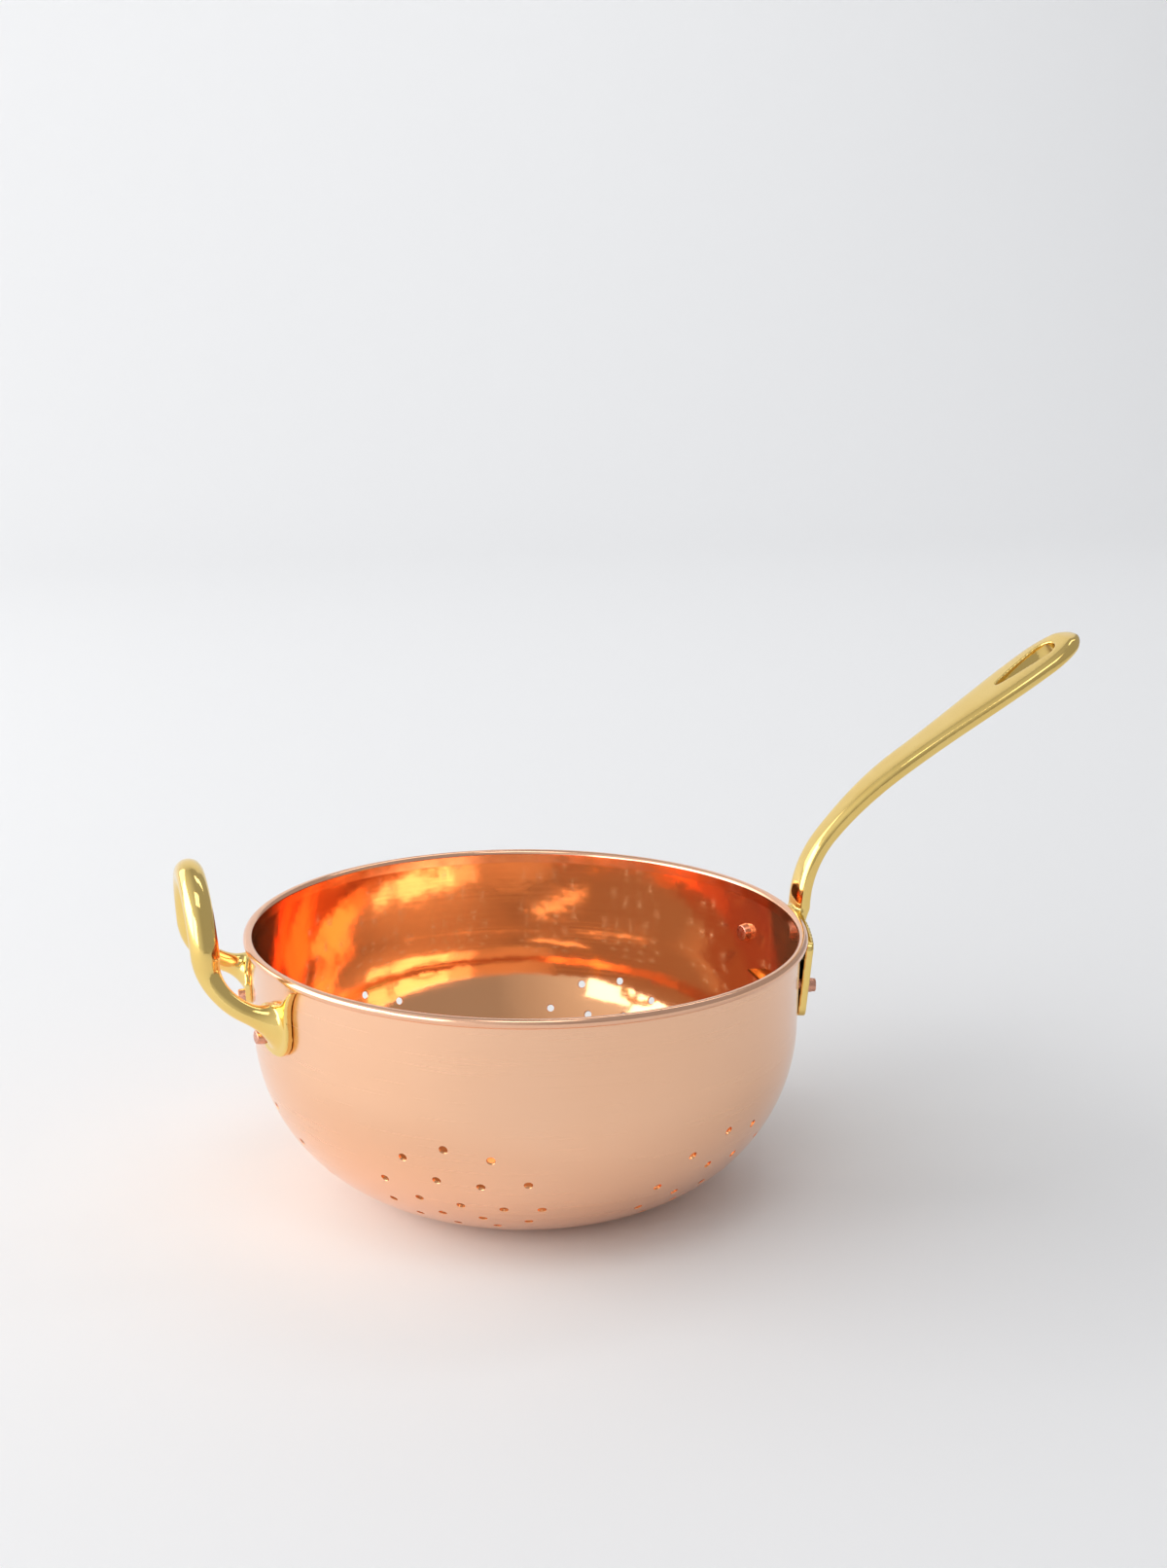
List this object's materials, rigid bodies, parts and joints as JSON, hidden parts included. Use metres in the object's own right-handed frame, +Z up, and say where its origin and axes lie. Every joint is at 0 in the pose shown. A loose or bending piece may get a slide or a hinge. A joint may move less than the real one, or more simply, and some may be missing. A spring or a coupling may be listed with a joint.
{
  "type": "colander",
  "caption": "Spun copper bowl colander with a wired rim, drain hole rosettes, a long cast brass handle with a hanging eye and a riveted brass loop handle.",
  "frame": {"origin": "centre of the bowl's flat base, on the surface that it stands on", "axes": "+Z up along the bowl's axis, +X along the long handle, -X towards the loop handle"},
  "size_m": [0.4016, 0.24, 0.2297],
  "materials": {
    "copper": "polished copper inside, fine satin copper outside",
    "copper_rivet": "bright copper, hammered",
    "brass": "polished cast brass",
    "steel_wire": "plain drawn wire, hidden in the rim"
  },
  "bodies": {
    "root": {"bowl": "copper", "rim_wire": "steel_wire", "long_handle": "brass", "helper_handle": "brass", "long_handle_rivet_front": "copper_rivet", "long_handle_rivet_rear": "copper_rivet", "helper_rivet_front": "copper_rivet", "helper_rivet_rear": "copper_rivet"}
  },
  "joints": []
}
